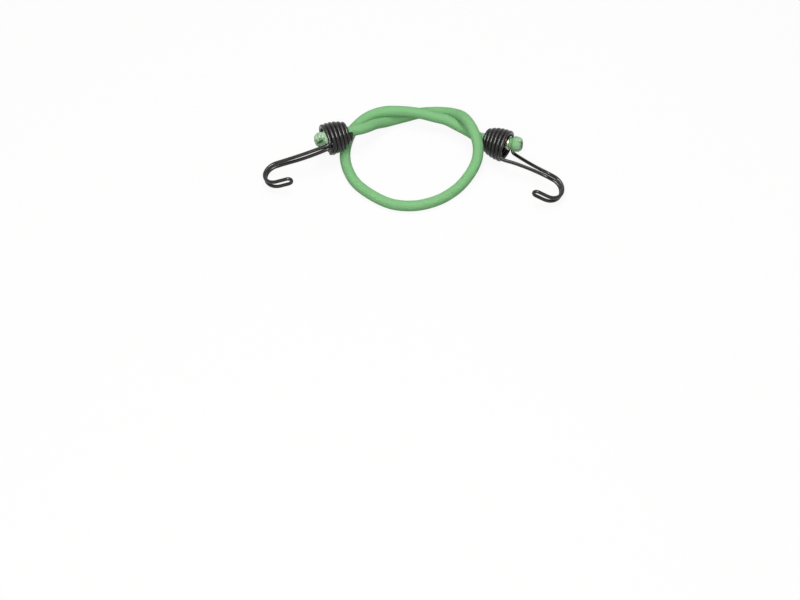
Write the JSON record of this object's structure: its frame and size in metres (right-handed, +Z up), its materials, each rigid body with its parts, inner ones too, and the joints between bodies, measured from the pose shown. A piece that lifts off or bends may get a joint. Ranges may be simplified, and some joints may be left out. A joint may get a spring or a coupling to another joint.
{
  "type": "bungee cord",
  "caption": "Elastic cord tied in a loose overhand knot, with a coiled black wire hook gripping each end to hold down or bundle loads.",
  "frame": {"origin": "middle of the bounding box in X and Y, on the surface the cord lies on", "axes": "+X from the left hook to the right hook, +Y away from the viewer, +Z up off the surface"},
  "size_m": [0.2348, 0.1121, 0.0308],
  "materials": {
    "sheath": "tightly braided green textile sheath with a slight sheen",
    "core": "natural latex rubber, matt",
    "clip": "bright zinc plated steel",
    "hook_wire": "black coated steel wire, half gloss"
  },
  "bodies": {
    "cord": {"sheath": "sheath", "core_strand_1": "core", "core_strand_2": "core", "core_strand_3": "core", "core_strand_4": "core", "core_strand_5": "core", "core_strand_6": "core", "core_strand_7": "core"},
    "left_end": {"left_clip": "clip"},
    "left_hook": {"left_hook": "hook_wire"},
    "right_end": {"right_clip": "clip"},
    "right_hook": {"right_hook": "hook_wire"}
  },
  "joints": [
    {"name": "left_stretch", "type": "slide", "parent": "cord", "child": "left_end", "axis": [-0.8743, -0.4855, 0], "range_m": [0, 0.05], "stiffness_N_per_m": 3500, "deforming": ["sheath", "core_strand_1", "core_strand_2", "core_strand_3", "core_strand_4", "core_strand_5", "core_strand_6", "core_strand_7"]},
    {"name": "left_swivel", "type": "hinge", "parent": "left_end", "child": "left_hook", "pos_m": [-0.06801, 0.00525, 0.02169], "axis": [-0.8662, -0.481, 0.1353], "continuous": true},
    {"name": "right_stretch", "type": "slide", "parent": "cord", "child": "right_end", "axis": [0.9532, -0.3023, 0], "range_m": [0, 0.05], "stiffness_N_per_m": 3500, "deforming": ["sheath", "core_strand_1", "core_strand_2", "core_strand_3", "core_strand_4", "core_strand_5", "core_strand_6", "core_strand_7"]},
    {"name": "right_swivel", "type": "hinge", "parent": "right_end", "child": "right_hook", "pos_m": [0.07459, 0.00752, 0.01445], "axis": [0.9514, -0.3017, 0.0614], "continuous": true}
  ]
}
